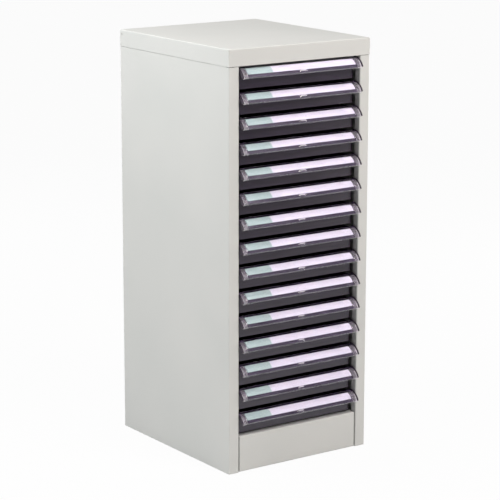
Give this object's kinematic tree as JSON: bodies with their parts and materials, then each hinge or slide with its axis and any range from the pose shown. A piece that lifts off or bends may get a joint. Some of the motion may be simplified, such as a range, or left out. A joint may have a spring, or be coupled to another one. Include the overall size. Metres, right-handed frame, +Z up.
{
  "type": "drawer cabinet",
  "caption": "Tall narrow sheet steel cabinet with a column of shallow moulded letter trays that slide out by curved label lips.",
  "frame": {"origin": "on the floor under the middle of the whole cabinet, lips and screw heads included", "axes": "+Z up, the trays pull out towards -Y, +X right as seen from the front"},
  "size_m": [0.285, 0.3412, 0.71],
  "materials": {
    "powder_coated_steel": "satin",
    "zinc_plated_steel": "satin",
    "charcoal_polystyrene": "gloss",
    "clear_polystyrene": "gloss",
    "label_paper": "matte"
  },
  "bodies": {
    "carcass": {"top_cover": "powder_coated_steel", "left_side_panel": "powder_coated_steel", "right_side_panel": "powder_coated_steel", "back_panel": "powder_coated_steel", "base_shelf": "powder_coated_steel", "plinth_panel": "powder_coated_steel", "left_runner_angles": "powder_coated_steel", "right_runner_angles": "powder_coated_steel", "back_panel_screws": "zinc_plated_steel"},
    "drawer_01": {"drawer_tray_01": "charcoal_polystyrene", "label_holder_01": "clear_polystyrene", "label_card_01": "label_paper"},
    "drawer_02": {"drawer_tray_02": "charcoal_polystyrene", "label_holder_02": "clear_polystyrene", "label_card_02": "label_paper"},
    "drawer_03": {"drawer_tray_03": "charcoal_polystyrene", "label_holder_03": "clear_polystyrene", "label_card_03": "label_paper"},
    "drawer_04": {"drawer_tray_04": "charcoal_polystyrene", "label_holder_04": "clear_polystyrene", "label_card_04": "label_paper"},
    "drawer_05": {"drawer_tray_05": "charcoal_polystyrene", "label_holder_05": "clear_polystyrene", "label_card_05": "label_paper"},
    "drawer_06": {"drawer_tray_06": "charcoal_polystyrene", "label_holder_06": "clear_polystyrene", "label_card_06": "label_paper"},
    "drawer_07": {"drawer_tray_07": "charcoal_polystyrene", "label_holder_07": "clear_polystyrene", "label_card_07": "label_paper"},
    "drawer_08": {"drawer_tray_08": "charcoal_polystyrene", "label_holder_08": "clear_polystyrene", "label_card_08": "label_paper"},
    "drawer_09": {"drawer_tray_09": "charcoal_polystyrene", "label_holder_09": "clear_polystyrene", "label_card_09": "label_paper"},
    "drawer_10": {"drawer_tray_10": "charcoal_polystyrene", "label_holder_10": "clear_polystyrene", "label_card_10": "label_paper"},
    "drawer_11": {"drawer_tray_11": "charcoal_polystyrene", "label_holder_11": "clear_polystyrene", "label_card_11": "label_paper"},
    "drawer_12": {"drawer_tray_12": "charcoal_polystyrene", "label_holder_12": "clear_polystyrene", "label_card_12": "label_paper"},
    "drawer_13": {"drawer_tray_13": "charcoal_polystyrene", "label_holder_13": "clear_polystyrene", "label_card_13": "label_paper"},
    "drawer_14": {"drawer_tray_14": "charcoal_polystyrene", "label_holder_14": "clear_polystyrene", "label_card_14": "label_paper"},
    "drawer_15": {"drawer_tray_15": "charcoal_polystyrene", "label_holder_15": "clear_polystyrene", "label_card_15": "label_paper"}
  },
  "joints": [
    {"name": "drawer_01_slide", "type": "slide", "parent": "carcass", "child": "drawer_01", "axis": [0, -1, 0], "range_m": [0, 0.24]},
    {"name": "drawer_02_slide", "type": "slide", "parent": "carcass", "child": "drawer_02", "axis": [0, -1, 0], "range_m": [0, 0.24]},
    {"name": "drawer_03_slide", "type": "slide", "parent": "carcass", "child": "drawer_03", "axis": [0, -1, 0], "range_m": [0, 0.24]},
    {"name": "drawer_04_slide", "type": "slide", "parent": "carcass", "child": "drawer_04", "axis": [0, -1, 0], "range_m": [0, 0.24]},
    {"name": "drawer_05_slide", "type": "slide", "parent": "carcass", "child": "drawer_05", "axis": [0, -1, 0], "range_m": [0, 0.24]},
    {"name": "drawer_06_slide", "type": "slide", "parent": "carcass", "child": "drawer_06", "axis": [0, -1, 0], "range_m": [0, 0.24]},
    {"name": "drawer_07_slide", "type": "slide", "parent": "carcass", "child": "drawer_07", "axis": [0, -1, 0], "range_m": [0, 0.24]},
    {"name": "drawer_08_slide", "type": "slide", "parent": "carcass", "child": "drawer_08", "axis": [0, -1, 0], "range_m": [0, 0.24]},
    {"name": "drawer_09_slide", "type": "slide", "parent": "carcass", "child": "drawer_09", "axis": [0, -1, 0], "range_m": [0, 0.24]},
    {"name": "drawer_10_slide", "type": "slide", "parent": "carcass", "child": "drawer_10", "axis": [0, -1, 0], "range_m": [0, 0.24]},
    {"name": "drawer_11_slide", "type": "slide", "parent": "carcass", "child": "drawer_11", "axis": [0, -1, 0], "range_m": [0, 0.24]},
    {"name": "drawer_12_slide", "type": "slide", "parent": "carcass", "child": "drawer_12", "axis": [0, -1, 0], "range_m": [0, 0.24]},
    {"name": "drawer_13_slide", "type": "slide", "parent": "carcass", "child": "drawer_13", "axis": [0, -1, 0], "range_m": [0, 0.24]},
    {"name": "drawer_14_slide", "type": "slide", "parent": "carcass", "child": "drawer_14", "axis": [0, -1, 0], "range_m": [0, 0.24]},
    {"name": "drawer_15_slide", "type": "slide", "parent": "carcass", "child": "drawer_15", "axis": [0, -1, 0], "range_m": [0, 0.24]}
  ]
}
